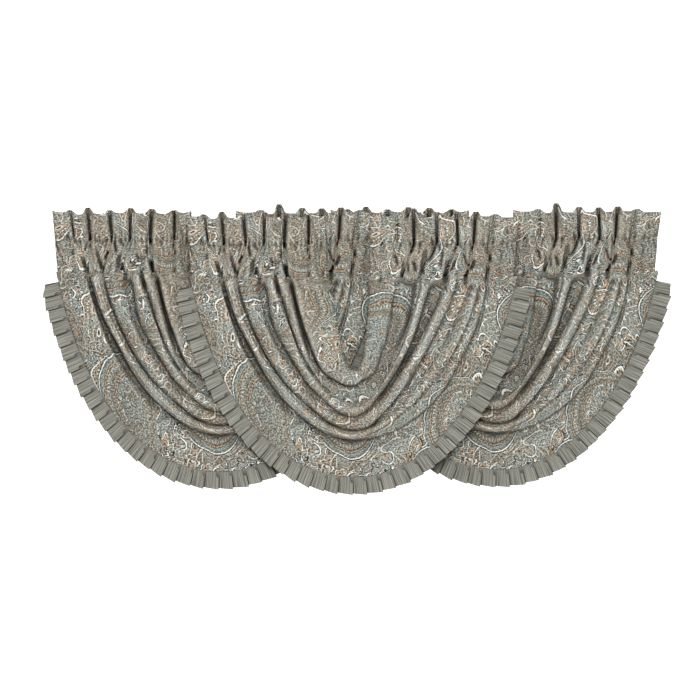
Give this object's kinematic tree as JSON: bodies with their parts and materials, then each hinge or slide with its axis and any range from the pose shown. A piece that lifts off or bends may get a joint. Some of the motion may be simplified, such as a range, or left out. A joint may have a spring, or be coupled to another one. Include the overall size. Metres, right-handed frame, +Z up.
{
  "type": "waterfall valance",
  "caption": "Overlapping gathered valances, each a swag with a cowl neck hung between two rod-pocket headings and edged with a knife-pleated trim.",
  "frame": {"origin": "middle of the front valance, on the axis of the rod that its pockets take", "axes": "+X along the rods to the right as seen from the room, +Y from the room towards the window, +Z up"},
  "size_m": [1.5801, 0.1326, 0.7239],
  "materials": {
    "panel_cloth": "woven jacquard with a paisley figure",
    "trim_cloth": "matt ribbed weave, knife-pleated"
  },
  "bodies": {
    "root": {"front_swag": "panel_cloth", "front_heading_left": "panel_cloth", "front_heading_right": "panel_cloth", "front_trim": "trim_cloth", "left_swag": "panel_cloth", "left_heading_left": "panel_cloth", "left_heading_right": "panel_cloth", "left_trim": "trim_cloth", "right_swag": "panel_cloth", "right_heading_left": "panel_cloth", "right_heading_right": "panel_cloth", "right_trim": "trim_cloth"}
  },
  "joints": []
}
